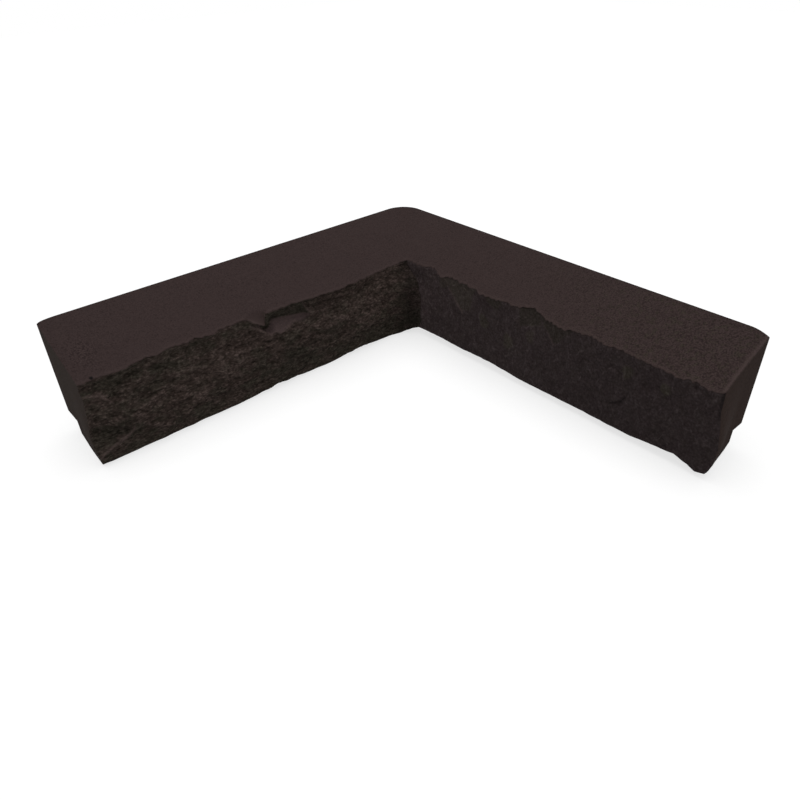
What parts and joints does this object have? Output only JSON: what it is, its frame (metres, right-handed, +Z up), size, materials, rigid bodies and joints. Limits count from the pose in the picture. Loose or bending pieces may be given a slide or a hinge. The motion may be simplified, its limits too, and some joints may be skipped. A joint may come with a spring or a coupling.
{
  "type": "inside corner stone ledge",
  "caption": "Right-angled stone ledge for an inside corner, with a sloping smooth top, a broken rock-faced front and a rebate under the back.",
  "frame": {"origin": "middle of the bounding box, at the height of the foot it stands on", "axes": "+Z up; one arm runs along X with its back face towards +Y, the other runs along Y with its back face towards +X; the outer corner is at +X +Y and the room is on the -X -Y side"},
  "size_m": [0.3554, 0.3682, 0.0945],
  "materials": {
    "stone": "matt, dark brown, smooth top and broken front"
  },
  "bodies": {
    "root": {"corner_ledge": "stone"}
  },
  "joints": []
}
